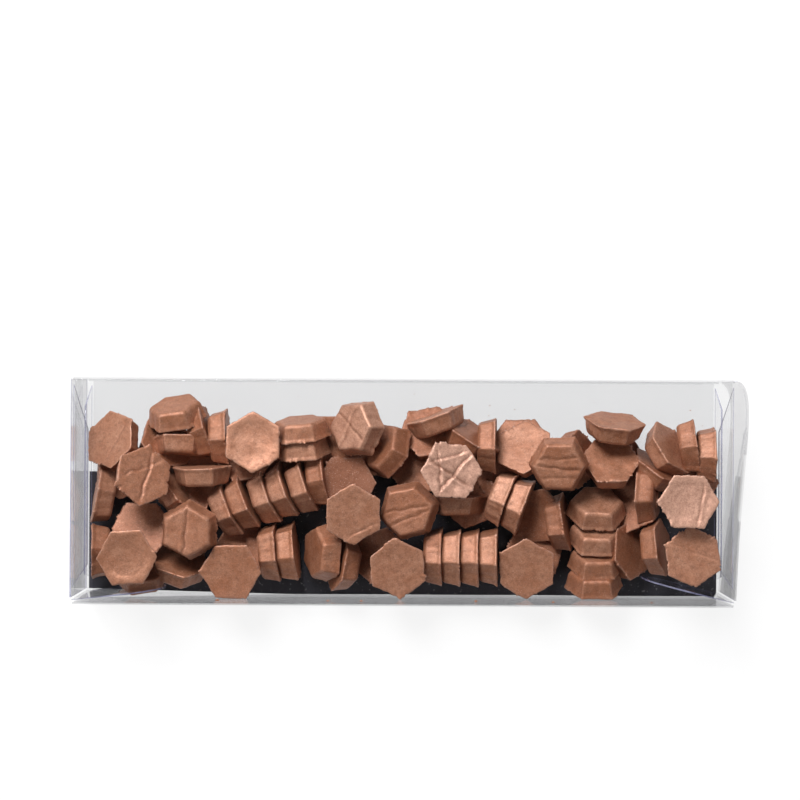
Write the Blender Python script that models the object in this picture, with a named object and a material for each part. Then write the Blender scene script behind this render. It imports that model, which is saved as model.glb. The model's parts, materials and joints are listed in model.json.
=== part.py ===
"""Clear tuck-end carton of hexagonal sealing wax beads.

The carton lies on its labelled side. +X runs along its length, +Y from the foot side to the head side,
and +Z from the base panel to the face panel. The origin is on the underside of the label, below the middle
of the carton. Lengths are in metres.
"""

from dataclasses import dataclass, replace
from math import cos, radians, sin, tan

import bmesh
import bpy
import numpy as np
from mathutils import Matrix, Vector

MM = 0.001

# Carton
SLEEVE_LENGTH = 125.0 * MM
CARTON_WIDTH = 43.0 * MM
CARTON_DEPTH = 22.0 * MM
SHEET = 0.3 * MM
LABEL_THICKNESS = 0.15 * MM
LABEL_WIDTH = 24.0 * MM
LABEL_END_MARGIN = 2.0 * MM
LABEL_FOOT_MARGIN = 0.5 * MM
GLUE_FLAP_WIDTH = 9.0 * MM
GLUE_FLAP_BEVEL = 4.0 * MM
GLUE_FILM = 0.1 * MM

# End closures
TUCK_LENGTH = 17.0 * MM
TUCK_RADIUS = 8.0 * MM
TUCK_SIDE_CLEARANCE = 0.5 * MM
TUCK_FOOT_CLEARANCE = 0.4 * MM
LEFT_TUCK_LEAN = radians(6.0)
RIGHT_TUCK_LEAN = radians(13.5)
FACE_DUST_LENGTH = 19.5 * MM
BASE_DUST_LENGTH = 9.5 * MM
DUST_HEAD_INSET = 1.4 * MM
DUST_FOOT_INSET = 3.5 * MM
DUST_HEAD_SLOPE = radians(24.0)
DUST_FOOT_SLOPE = radians(8.0)
BOW_NEAR_OUT = 4.6 * MM
BOW_NEAR_DOWN = 1.2 * MM
BOW_FAR_OUT = 0.9 * MM
BOW_FAR_DOWN = 14.0 * MM
BOW_STEPS = 14
CORNER_STEPS = 6

# Running clearances
CREASE_GAP = 0.3 * MM
HINGE_GAP = 0.5 * MM
LAYER_GAP = 0.2 * MM
BEAD_GAP = 0.2 * MM
FLAP_SWEEP_CLEARANCE = 0.6 * MM

# Beads
BEAD_ACROSS_CORNERS = 11.6 * MM
BEAD_THICKNESS = 3.6 * MM
BEAD_RIM = 0.4 * MM
BEAD_CHAMFER_HEIGHT = 0.5 * MM
BEAD_CHAMFER_WIDTH = 0.5 * MM
BEAD_DRAFT = radians(13.0)
HEADSPACE = 3.0 * MM
RING_STEP = 0.6 * MM
NEAR_RINGS = 4
OWN_RINGS = 12
RING_PLACES = 12
PARALLEL = 1e-6

# Levels and planes that several pieces share
BASE_BOTTOM = LABEL_THICKNESS
BASE_TOP = BASE_BOTTOM + SHEET
FACE_TOP = BASE_BOTTOM + CARTON_DEPTH
FACE_BOTTOM = FACE_TOP - SHEET
HALF_LENGTH = SLEEVE_LENGTH / 2
HALF_WIDTH = CARTON_WIDTH / 2
CLOSURE_PLANE = HALF_LENGTH + LAYER_GAP + SHEET / 2
CLOSURE_HINGE_Y = HALF_WIDTH - SHEET / 2
TUCK_FOLD_Y = -HALF_WIDTH + SHEET + TUCK_FOOT_CLEARANCE + SHEET / 2
FACE_DUST_PLANE = HALF_LENGTH - SHEET / 2
BASE_DUST_PLANE = FACE_DUST_PLANE - SHEET - LAYER_GAP
FACE_DUST_HINGE_Z = FACE_TOP - SHEET / 2
BASE_DUST_HINGE_Z = BASE_BOTTOM + SHEET / 2
FLAP_Z_LOW = BASE_TOP + TUCK_SIDE_CLEARANCE
FLAP_Z_HIGH = FACE_BOTTOM - TUCK_SIDE_CLEARANCE
PANEL_Z_LOW = BASE_BOTTOM + LAYER_GAP
PANEL_Z_HIGH = FACE_TOP - LAYER_GAP
FILL_TOP = FACE_BOTTOM - HEADSPACE
INNER_END = BASE_DUST_PLANE - SHEET / 2 - BEAD_GAP
INNER_HEAD = HALF_WIDTH - SHEET - GLUE_FILM - SHEET - BEAD_GAP
INNER_FOOT = -HALF_WIDTH + SHEET + BEAD_GAP


@dataclass(frozen=True)
class Bead:
    """One loose bead, or one stick of beads stuck face to face: its place in the carton and how it lies.

    x and y are hundredths of half the carton's length and width from its middle. The upper face tips away
    from +Z by tip degrees towards heading, which is counted from +X towards +Y. spin turns the hexagon about
    its own axis, perch is the least height of the bead's middle above the base panel in hundredths of the
    carton's depth, where its neighbours hold it up, wide_up says which face is the upper one, and count is
    how many beads the stick has.
    """

    x: float
    y: float
    tip: float
    heading: float
    spin: float
    perch: float = 0.0
    wide_up: bool = True
    count: int = 1


# Beads in the order in which they are laid, the lower ones first
BEADS = (
    # Standing on edge along the left end and in the rows
    Bead(-95.2, -58.1, 84, 180, 10),
    Bead(-95.2, -7.0, 80, 170, 5),
    Bead(-57.6, 46.5, 88, 5, 9),
    Bead(-53.0, -17.4, 82, 24, 38, count=2),
    Bead(-41.0, -5.3, 82, 22, 40, count=2),
    Bead(-31.8, 1.0, 82, 22, 32),
    Bead(-39.0, -58.1, 86, 7, 18, count=2),
    Bead(-25.6, -58.1, 62, 180, 20, 27, False),
    Bead(18.2, -60.5, 86, 0, 8, count=4),
    Bead(33.0, -10.7, 82, -20, 54, count=2),
    Bead(40.8, -62.8, 10, 80, 10),
    Bead(96.0, 32.6, 86, 0, 4),
    Bead(76.8, -4.7, 74, 0, 10, 27, False),
    Bead(75.2, -58.1, 68, 10, 26, 27),
    # Standing on edge across the carton
    Bead(-60.0, 16.3, 86, 92, 57),
    Bead(16.8, -14.0, 88, 90, 58),
    Bead(-69.6, 34.9, 80, 270, 56, 23, False),
    Bead(-71.2, 58.1, 66, 100, 4, 32, False),
    Bead(10.4, 60.5, 86, 110, 20, 27),
    Bead(-32.0, 46.5, 78, 95, 1, 31, False, 2),
    Bead(60.8, -61.9, 60, 92, 0, 25, False),
    Bead(60.8, -39.5, 58, 92, 56, 27, False),
    Bead(60.8, -15.3, 54, 90, 58, 29, False),
    Bead(-70.4, -79.1, 62, 78, 38, 23),
    Bead(65.6, 55.8, 72, 84, 50, 36),
    # Tipped faces
    Bead(-2.4, 41.9, 58, 150, 40, 25, False),
    Bead(82.4, 34.9, 60, 40, 52, 27),
    Bead(-71.2, -4.7, 72, 40, 54, 23),
    Bead(38.4, 34.9, 34, 115, 30, 25),
    Bead(66.4, 25.6, 40, 92, 0, 32),
    Bead(-91.2, 41.9, 36, 152, 40, 36),
    Bead(-80.8, 11.6, 26, 20, 20, 30),
    Bead(-16.0, 55.8, 36, 172, 0, 41, False),
    Bead(-14.4, 9.3, 16, 90, 0, 27),
    # Flat faces on top
    Bead(-84.8, -60.5, 5, 200, 3, 41),
    Bead(-66.4, -37.2, 7, 210, 30, 43, False),
    Bead(-52.8, -72.1, 5, 260, 0, 39),
    Bead(-45.6, 41.9, 8, 90, 30, 45),
    Bead(-15.2, -20.9, 5, 250, 30, 52),
    Bead(1.6, -18.6, 8, 200, 14, 48, False),
    Bead(-0.8, -69.8, 6, 300, 36, 45),
    Bead(14.4, 17.2, 8, 50, 0, 52),
    Bead(38.4, -69.8, 6, 280, 30),
    Bead(48.0, 23.3, 10, 250, 0, 40, False),
    Bead(88.0, -9.3, 6, 100, 0, 55),
    Bead(89.6, -60.5, 6, 60, 36, 45),
)


def clear_scene():
    """Remove every object that the scene starts with."""
    for old in list(bpy.data.objects):
        bpy.data.objects.remove(old, do_unlink=True)


def principled(name, colour, roughness, metallic=0.0, alpha=1.0):
    """Return a Principled material."""
    material = bpy.data.materials.new(name)
    material.use_nodes = True
    shader = material.node_tree.nodes["Principled BSDF"]
    shader.inputs["Base Color"].default_value = (*colour, 1.0)
    shader.inputs["Roughness"].default_value = roughness
    shader.inputs["Metallic"].default_value = metallic
    shader.inputs["Alpha"].default_value = alpha
    return material


def clear_sheet(name):
    """Return the clear film of one panel or flap."""
    return principled(name + "_film", (0.86, 0.87, 0.89), 0.06, alpha=0.25)


def add_object(name, mesh, material, location=(0, 0, 0), parent=None):
    """Link one named object; a location under a parent counts from the parent's origin."""
    if not mesh.materials:
        mesh.materials.append(material)
    piece = bpy.data.objects.new(name, mesh)
    bpy.context.scene.collection.objects.link(piece)
    piece.location = location
    piece.parent = parent
    return piece


def prism(name, outline, low, high, to_space):
    """Return the mesh of a flat outline raised from low to high, each corner placed by to_space(a, b, c)."""
    shape = bmesh.new()
    bottom = [shape.verts.new(to_space(a, b, low)) for a, b in outline]
    face = shape.faces.new(bottom)
    raised = bmesh.ops.extrude_face_region(shape, geom=[face])
    lift = Vector(to_space(0, 0, high)) - Vector(to_space(0, 0, low))
    moved = [item for item in raised["geom"] if isinstance(item, bmesh.types.BMVert)]
    bmesh.ops.translate(shape, verts=moved, vec=lift)
    bmesh.ops.recalc_face_normals(shape, faces=shape.faces)
    mesh = bpy.data.meshes.new(name)
    shape.to_mesh(mesh)
    shape.free()
    return mesh


def on_plan(a, b, c):
    """Place an outline drawn on X and Y, raised along Z."""
    return a, b, c


def on_side(a, b, c):
    """Place an outline drawn on X and Z, raised along Y."""
    return a, c, b


def on_end(a, b, c):
    """Place an outline drawn on Y and Z, raised along X."""
    return c, a, b


def rectangle(half_a, low_b, high_b):
    """Return the corners of a rectangle that is centred across its first axis."""
    return [(-half_a, low_b), (half_a, low_b), (half_a, high_b), (-half_a, high_b)]


def make_sleeve():
    """Model the four panels, the glue flap and the label."""
    face_end = FACE_DUST_PLANE - HINGE_GAP
    base_end = BASE_DUST_PLANE - HINGE_GAP
    side_low = BASE_TOP + CREASE_GAP
    side_high = FACE_BOTTOM - CREASE_GAP
    face = rectangle(face_end, -HALF_WIDTH, HALF_WIDTH)
    base = rectangle(base_end, -HALF_WIDTH, HALF_WIDTH)
    side = rectangle(HALF_LENGTH, side_low, side_high)
    panels = {
        "face_panel": prism("face_panel", face, FACE_BOTTOM, FACE_TOP, on_plan),
        "base_panel": prism("base_panel", base, BASE_BOTTOM, BASE_TOP, on_plan),
        "head_panel": prism("head_panel", side, HALF_WIDTH - SHEET, HALF_WIDTH, on_side),
        "foot_panel": prism("foot_panel", side, -HALF_WIDTH, -HALF_WIDTH + SHEET, on_side),
    }
    for name, mesh in panels.items():
        add_object(name, mesh, clear_sheet(name))

    flap_outer = HALF_WIDTH - SHEET - GLUE_FILM
    flap_root = base_end - GLUE_FLAP_BEVEL / 2
    flap_tip = flap_root - GLUE_FLAP_BEVEL
    flap_top = side_low + GLUE_FLAP_WIDTH
    flap = [(-flap_root, side_low), (flap_root, side_low), (flap_tip, flap_top), (-flap_tip, flap_top)]
    flap_mesh = prism("glue_flap", flap, flap_outer - SHEET, flap_outer, on_side)
    add_object("glue_flap", flap_mesh, clear_sheet("glue_flap"))

    label_foot = -HALF_WIDTH + LABEL_FOOT_MARGIN
    label = rectangle(base_end - LABEL_END_MARGIN, label_foot, label_foot + LABEL_WIDTH)
    label_paper = principled("label_paper", (0.018, 0.019, 0.028), 0.55)
    add_object("base_label", prism("base_label", label, 0.0, LABEL_THICKNESS, on_plan), label_paper)


def bowed_line(length, near, far):
    """Return points of the bowed closure from its hinge to its fold, as distance out and distance down."""
    points = []
    for step in range(BOW_STEPS + 1):
        t = step / BOW_STEPS
        first, second, third = 3 * (1 - t) ** 2 * t, 3 * (1 - t) * t ** 2, t ** 3
        points.append((first * near[0] + second * far[0], first * near[1] + second * far[1] + third * length))
    return points


def trimmed(line, gap):
    """Return an open line that starts and stops a running gap away from the creases at its ends."""
    first, last = Vector(line[0]), Vector(line[-1])
    inner = [Vector(point) for point in line[1:-1]]
    inner = [point for point in inner if min((point - first).length, (point - last).length) > gap]
    start = first + (inner[0] - first).normalized() * gap
    stop = last + (inner[-1] - last).normalized() * gap
    return [start, *inner, stop]


def thicken(line, thickness):
    """Return the outline of a sheet of one thickness about an open line."""
    left, right = [], []
    last = len(line) - 1
    for index, point in enumerate(line):
        before, after = line[max(index - 1, 0)], line[min(index + 1, last)]
        along = (after - before).normalized()
        across = Vector((-along.y, along.x)) * (thickness / 2)
        left.append(tuple(point + across))
        right.append(tuple(point - across))
    return left + right[::-1]


def make_closure(side, sign, lean, bowed):
    """Model one end panel on its hinge, with its tuck flap on its fold.

    sign is -1 at the left end and 1 at the right end.
    """
    length = CLOSURE_HINGE_Y - TUCK_FOLD_Y
    if bowed:
        line = bowed_line(length, (BOW_NEAR_OUT, BOW_NEAR_DOWN), (BOW_FAR_OUT, BOW_FAR_DOWN))
    else:
        line = [(0.0, 0.0), (0.0, length / 2), (0.0, length)]
    outline = [(sign * out, -down) for out, down in thicken(trimmed(line, HINGE_GAP), SHEET)]
    hinge = (sign * CLOSURE_PLANE, CLOSURE_HINGE_Y, 0.0)
    name = side + "_end_panel"
    mesh = prism(name, outline, PANEL_Z_LOW, PANEL_Z_HIGH, on_plan)
    panel = add_object(name, mesh, clear_sheet(name), hinge)

    def from_fold(along, height, thick):
        rise = along * tan(lean) + thick / cos(lean)
        return -sign * along, rise, height

    name = side + "_tuck_flap"
    reach = TUCK_LENGTH * cos(lean)
    turn = np.linspace(0.0, np.pi / 2, CORNER_STEPS)
    corner = [(reach - TUCK_RADIUS * (1 - sin(a)), FLAP_Z_LOW + TUCK_RADIUS * (1 - cos(a))) for a in turn]
    mirrored = [(along, FLAP_Z_LOW + FLAP_Z_HIGH - height) for along, height in reversed(corner)]
    flap = [(HINGE_GAP, FLAP_Z_LOW), *corner, *mirrored, (HINGE_GAP, FLAP_Z_HIGH)]
    mesh = prism(name, flap, -SHEET / 2, SHEET / 2, from_fold)
    add_object(name, mesh, clear_sheet(name), (0.0, -length, 0.0), panel)


def make_dust_flap(side, sign, edge, plane, hinge_z, length, towards):
    """Model one dust flap, which hangs or stands from its crease at hinge_z by length."""
    head = HALF_WIDTH - DUST_HEAD_INSET
    foot = -HALF_WIDTH + DUST_FOOT_INSET
    root, tip = towards * HINGE_GAP, towards * length
    outline = [
        (foot, root),
        (head, root),
        (head - length * tan(DUST_HEAD_SLOPE), tip),
        (foot + length * tan(DUST_FOOT_SLOPE), tip),
    ]
    name = "{}_{}_dust_flap".format(side, edge)
    mesh = prism(name, outline, -SHEET / 2, SHEET / 2, on_end)
    add_object(name, mesh, clear_sheet(name), (sign * plane, 0.0, hinge_z))


def make_ends():
    """Model both end closures and their dust flaps."""
    for side, sign, lean, bowed in (("left", -1, LEFT_TUCK_LEAN, False), ("right", 1, RIGHT_TUCK_LEAN, True)):
        make_closure(side, sign, lean, bowed)
        make_dust_flap(side, sign, "face", FACE_DUST_PLANE, FACE_DUST_HINGE_Z, FACE_DUST_LENGTH, -1)
        make_dust_flap(side, sign, "base", BASE_DUST_PLANE, BASE_DUST_HINGE_Z, BASE_DUST_LENGTH, 1)


def bead_rings(count):
    """Return the hexagons of a stick of beads from its wide end to its narrow end, as radius and height."""
    wide = BEAD_ACROSS_CORNERS / 2
    shoulder = BEAD_THICKNESS - BEAD_RIM - BEAD_CHAMFER_HEIGHT
    narrow = wide - shoulder * tan(BEAD_DRAFT)
    rings = []
    for number in range(count):
        foot = (number - count / 2) * BEAD_THICKNESS
        head = foot + BEAD_THICKNESS
        rings += [
            (wide, foot),
            (wide, foot + BEAD_RIM),
            (narrow, head - BEAD_CHAMFER_HEIGHT),
            (narrow - BEAD_CHAMFER_WIDTH, head),
        ]
    return rings


def bead_mesh(count):
    """Model a stick of beads about its middle, with its narrow end up."""
    shape = bmesh.new()
    loops = []
    for radius, height in bead_rings(count):
        corners = [radians(60 * k) for k in range(6)]
        loops.append([shape.verts.new((radius * cos(a), radius * sin(a), height)) for a in corners])
    shape.faces.new(loops[0])
    shape.faces.new(loops[-1])
    for lower, upper in zip(loops, loops[1:]):
        for k in range(6):
            shape.faces.new((lower[k], lower[k - 1], upper[k - 1], upper[k]))
    bmesh.ops.recalc_face_normals(shape, faces=shape.faces)
    mesh = bpy.data.meshes.new("wax_bead")
    shape.to_mesh(mesh)
    shape.free()
    return mesh


def bead_turn(bead):
    """Return the rotation that lays a bead with its tip, heading and spin."""
    across = Vector((-sin(radians(bead.heading)), cos(radians(bead.heading)), 0.0))
    tip = Matrix.Rotation(radians(bead.tip), 3, across)
    spin = Matrix.Rotation(radians(bead.spin), 3, "Z")
    flip = Matrix.Rotation(radians(180 if bead.wide_up else 0), 3, "X")
    return tip @ spin @ flip


def distinct(directions):
    """Return the directions among which no two are parallel."""
    kept = []
    for direction in directions:
        if all(direction.cross(other).length > PARALLEL for other in kept):
            kept.append(direction)
    return np.array(kept)


def bead_directions(mesh):
    """Return the face normals and the edge directions of a bead about its middle."""
    ends = [[mesh.vertices[index].co for index in edge.vertices] for edge in mesh.edges]
    normals = distinct([polygon.normal.copy() for polygon in mesh.polygons])
    edges = distinct([(stop - start).normalized() for start, stop in ends])
    return normals, edges


def meeting_heights(points, axes, laid):
    """Return the ranges of height in which a bead would touch the beads already laid.

    points are the bead's corners about a middle at height 0. Along each axis that can part two convex bodies
    the heights at which they meet form one interval, so two beads meet only where all the intervals overlap.
    """
    ranges = []
    for other_points, other_axes in laid:
        before = points.min(axis=0) - other_points.max(axis=0)
        behind = other_points.min(axis=0) - points.max(axis=0)
        if max(*before[:2], *behind[:2]) > BEAD_GAP:
            continue
        crossed = np.cross(axes[1][:, None], other_axes[1][None]).reshape(-1, 3)
        size = np.linalg.norm(crossed, axis=1)
        crossed = crossed[size > PARALLEL] / size[size > PARALLEL, None]
        parting = np.concatenate([axes[0], other_axes[0], crossed])
        parting[parting[:, 2] < 0] *= -1
        own, other = points @ parting.T, other_points @ parting.T
        low = other.min(axis=0) - BEAD_GAP - own.max(axis=0)
        high = other.max(axis=0) + BEAD_GAP - own.min(axis=0)
        level = parting[:, 2] < PARALLEL
        if np.any((low[level] >= 0) | (high[level] <= 0)):
            continue
        climb = parting[~level, 2]
        meets_from, meets_to = (low[~level] / climb).max(), (high[~level] / climb).min()
        if meets_from < meets_to:
            ranges.append((meets_from, meets_to))
    return sorted(ranges)


def resting_height(least, ranges):
    """Return the lowest height from least upwards that lies in none of the sorted ranges."""
    height = least
    for meets_from, meets_to in ranges:
        if meets_from < height < meets_to:
            height = meets_to
    return height


def keep_inside(points, place):
    """Shift a bead's place on the base so that it clears the walls and the swing of the tuck flaps."""
    low, high = points.min(axis=0), points.max(axis=0)
    x = min(max(place[0], -INNER_END - low[0]), INNER_END - high[0])
    y = min(max(place[1], INNER_FOOT - low[1]), INNER_HEAD - high[1])
    for sign, lean in ((-1, LEFT_TUCK_LEAN), (1, RIGHT_TUCK_LEAN)):
        reach = CLOSURE_PLANE - sign * (points[:, 0] + x)
        over = reach < TUCK_LENGTH + FLAP_SWEEP_CLEARANCE
        flap = TUCK_FOLD_Y + reach * tan(lean) + SHEET / 2 + FLAP_SWEEP_CLEARANCE
        if over.any():
            y = max(y, (flap - points[:, 1])[over].max())
    return x, y


def settle(points, axes, bead, laid, rings):
    """Return the easiest place for a bead under the headspace, or None where the rings have no room for it.

    Places are tried in rings around the bead's own one. The easiest is the one with the least climb and
    reach together among the near rings, or in the first ring further out that has room.
    """
    best = None
    for ring in range(rings):
        if best is not None and ring > NEAR_RINGS:
            break
        for place in range(RING_PLACES if ring else 1):
            reach, turn = ring * RING_STEP, radians(360 * place / RING_PLACES)
            aim_x = bead.x * HALF_LENGTH / 100 + reach * cos(turn)
            aim_y = bead.y * HALF_WIDTH / 100 + reach * sin(turn)
            x, y = keep_inside(points, (aim_x, aim_y))
            there = points + (x, y, 0.0)
            on_base = BASE_TOP + BEAD_GAP - there[:, 2].min()
            least = max(on_base, BASE_TOP + bead.perch * CARTON_DEPTH / 100)
            height = resting_height(least, meeting_heights(there, axes, laid))
            effort = height - least + reach
            has_room = height + there[:, 2].max() <= FILL_TOP
            if has_room and (best is None or effort < best[0]):
                best = (effort, (x, y, height))
    return best and best[1]


def lay(bead, mesh, directions, laid):
    """Return the pose, corners and axes of a bead, which lies flat where its own tip finds no room nearby."""
    corners = np.array([vertex.co for vertex in mesh.vertices])
    for lying, rings in ((bead, OWN_RINGS), (replace(bead, tip=0), round(SLEEVE_LENGTH / RING_STEP))):
        turn = bead_turn(lying)
        points = corners @ np.array(turn).T
        axes = [group @ np.array(turn).T for group in directions]
        place = settle(points, axes, lying, laid, rings)
        if place:
            break
    return Matrix.Translation(place) @ turn.to_4x4(), points + place, axes


def make_beads():
    """Lay the beads one by one, each where it rests on the base panel or among its neighbours."""
    wax = principled("copper_wax", (0.44, 0.22, 0.13), 0.42, 0.35)
    directions = bead_directions(bead_mesh(1))
    meshes = {count: bead_mesh(count) for count in sorted({bead.count for bead in BEADS})}
    laid = []
    for number, bead in enumerate(BEADS, start=1):
        pose, points, axes = lay(bead, meshes[bead.count], directions, laid)
        laid.append((points, axes))
        piece = add_object("bead_{:02d}".format(number), meshes[bead.count], wax)
        piece.matrix_world = pose


def main():
    """Build the carton and fill it."""
    clear_scene()
    make_sleeve()
    make_ends()
    make_beads()


main()
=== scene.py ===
"""Looks of a clear tuck-end carton of copper sealing wax beads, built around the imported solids.

The carton lies on its labelled side: +X runs along it, +Y from its foot side to its head side and +Z up
through its face panel. Lengths are in metres unless a name says otherwise.
"""

from __future__ import annotations

import json
import logging
import math
import random
from collections.abc import Callable, Iterator, Sequence
from contextlib import contextmanager
from dataclasses import dataclass, field
from enum import Enum
from typing import Any

import bpy
import numpy as np
from mathutils import Matrix, Vector, noise

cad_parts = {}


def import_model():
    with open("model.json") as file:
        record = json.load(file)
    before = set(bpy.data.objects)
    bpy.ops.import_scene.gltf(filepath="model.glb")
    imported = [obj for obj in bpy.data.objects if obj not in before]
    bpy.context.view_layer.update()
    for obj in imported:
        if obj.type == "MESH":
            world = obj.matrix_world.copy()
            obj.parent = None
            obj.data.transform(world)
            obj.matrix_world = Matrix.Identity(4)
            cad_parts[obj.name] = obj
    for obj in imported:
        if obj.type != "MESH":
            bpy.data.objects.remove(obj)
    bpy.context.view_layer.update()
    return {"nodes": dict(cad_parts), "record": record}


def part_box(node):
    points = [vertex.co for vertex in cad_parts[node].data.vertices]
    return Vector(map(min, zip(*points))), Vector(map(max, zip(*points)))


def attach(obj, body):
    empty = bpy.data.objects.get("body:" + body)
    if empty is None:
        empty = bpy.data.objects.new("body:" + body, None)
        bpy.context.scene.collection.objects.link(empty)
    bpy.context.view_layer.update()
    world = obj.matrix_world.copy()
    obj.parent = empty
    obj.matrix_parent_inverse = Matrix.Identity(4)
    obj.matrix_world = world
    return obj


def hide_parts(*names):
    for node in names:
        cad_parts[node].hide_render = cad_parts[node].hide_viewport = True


LOG = logging.getLogger("wax_bead_carton")
MM = 0.001
CARTON_BODY = "carton"
FILM_SLOT = "film"
WAX_SLOT = "wax"
LABEL_SLOT = "label"
FACING = 0.9
SMOOTH_ANGLE = math.radians(40.0)
MERGE_DISTANCE = 0.01 * MM

Colour = tuple[float, float, float]
Pattern = tuple[float, float, float]


class Socket:
    """A shader value that can be used in Python expressions; each operation adds a Math node."""

    def __init__(self, kit: MaterialKit, socket: bpy.types.NodeSocket) -> None:
        """Wrap one output socket of a material."""
        self.kit = kit
        self.socket = socket

    def _math(self, operation: str, first: Socket | float, second: Socket | float) -> Socket:
        """Add one Math node.

        Args:
            operation: Name of the Math node's operation.
            first: Left operand, a Socket or a number.
            second: Right operand, a Socket or a number.

        Returns:
            The node's result.
        """
        return self.kit.node("ShaderNodeMath", {"operation": operation}, {0: first, 1: second})

    def __add__(self, other: Socket | float) -> Socket:
        """Return self + other."""
        return self._math("ADD", self, other)

    def __radd__(self, other: Socket | float) -> Socket:
        """Return other + self."""
        return self._math("ADD", other, self)

    def __sub__(self, other: Socket | float) -> Socket:
        """Return self - other."""
        return self._math("SUBTRACT", self, other)

    def __rsub__(self, other: Socket | float) -> Socket:
        """Return other - self."""
        return self._math("SUBTRACT", other, self)

    def __mul__(self, other: Socket | float) -> Socket:
        """Return self * other."""
        return self._math("MULTIPLY", self, other)

    def __rmul__(self, other: Socket | float) -> Socket:
        """Return other * self."""
        return self._math("MULTIPLY", other, self)

    def __pow__(self, other: Socket | float) -> Socket:
        """Return self raised to other."""
        return self._math("POWER", self, other)


class MaterialKit:
    """One node material under construction."""

    def __init__(self, name: str) -> None:
        """Start a material with an empty node tree."""
        self.material = bpy.data.materials.new(name)
        self.material.use_nodes = True
        self.tree = self.material.node_tree
        self.tree.nodes.clear()

    def node(self, kind: str, settings: dict[str, Any] | None = None, inputs: dict[Any, Any] | None = None,
             output: int | str = 0) -> Socket:
        """Add a node.

        Args:
            kind: Type of the node.
            settings: Properties of the node, set before its sockets.
            inputs: Socket name or number to a Socket or a plain value.
            output: Name or number of the output that is returned.

        Returns:
            The chosen output.
        """
        node = self.tree.nodes.new(kind)
        for key, value in (settings or {}).items():
            if key == "stops":
                self._set_stops(node, value)
            else:
                setattr(node, key, value)
        for key, value in (inputs or {}).items():
            if isinstance(value, Socket):
                self.tree.links.new(value.socket, node.inputs[key])
            else:
                node.inputs[key].default_value = value
        return Socket(self, node.outputs[output]) if node.outputs else Socket(self, None)

    @staticmethod
    def _set_stops(ramp: bpy.types.Node, stops: Sequence[tuple[float, float]]) -> None:
        """Set the stops of a colour ramp as grey levels.

        Args:
            ramp: The colour ramp node.
            stops: Position and grey level of each stop, two or more.
        """
        elements = ramp.color_ramp.elements
        while len(elements) < len(stops):
            elements.new(0.5)
        for element, (position, level) in zip(elements, stops):
            element.position = position
            element.color = (level, level, level, 1.0)

    def noise(self, pattern: Pattern) -> Socket:
        """Return noise over the piece, from its scale per metre, its detail and its roughness."""
        scale, detail, roughness = pattern
        place = self.node("ShaderNodeTexCoord", output="Object")
        inputs = {"Vector": place, "Scale": scale, "Detail": detail, "Roughness": roughness}
        return self.node("ShaderNodeTexNoise", None, inputs)

    def ramp(self, value: Socket, stops: Sequence[tuple[float, float]]) -> Socket:
        """Return a value passed through a ramp of grey levels."""
        return self.node("ShaderNodeValToRGB", {"stops": stops}, {"Fac": value})

    def attribute(self, name: str) -> Socket:
        """Return a number that the mesh carries at its points."""
        return self.node("ShaderNodeAttribute", {"attribute_name": name}, output="Fac")

    def mix(self, factor: Socket, first: Socket | Colour, second: Socket | Colour) -> Socket:
        """Return a colour between two colours, each a Socket or a plain colour."""
        settings = {"data_type": "RGBA", "clamp_factor": True}
        pair = [value if isinstance(value, Socket) else (*value, 1.0) for value in (first, second)]
        return self.node("ShaderNodeMix", settings, {0: factor, 6: pair[0], 7: pair[1]}, output=2)

    def bump(self, height: Socket, strength: float, distance: float) -> Socket:
        """Return a normal that is tilted by a height pattern."""
        inputs = {"Height": height, "Strength": strength, "Distance": distance}
        return self.node("ShaderNodeBump", None, inputs)

    def surface(self, shader: Socket) -> bpy.types.Material:
        """Connect the finished shader and return the material."""
        self.node("ShaderNodeOutputMaterial", None, {"Surface": shader})
        return self.material


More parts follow.
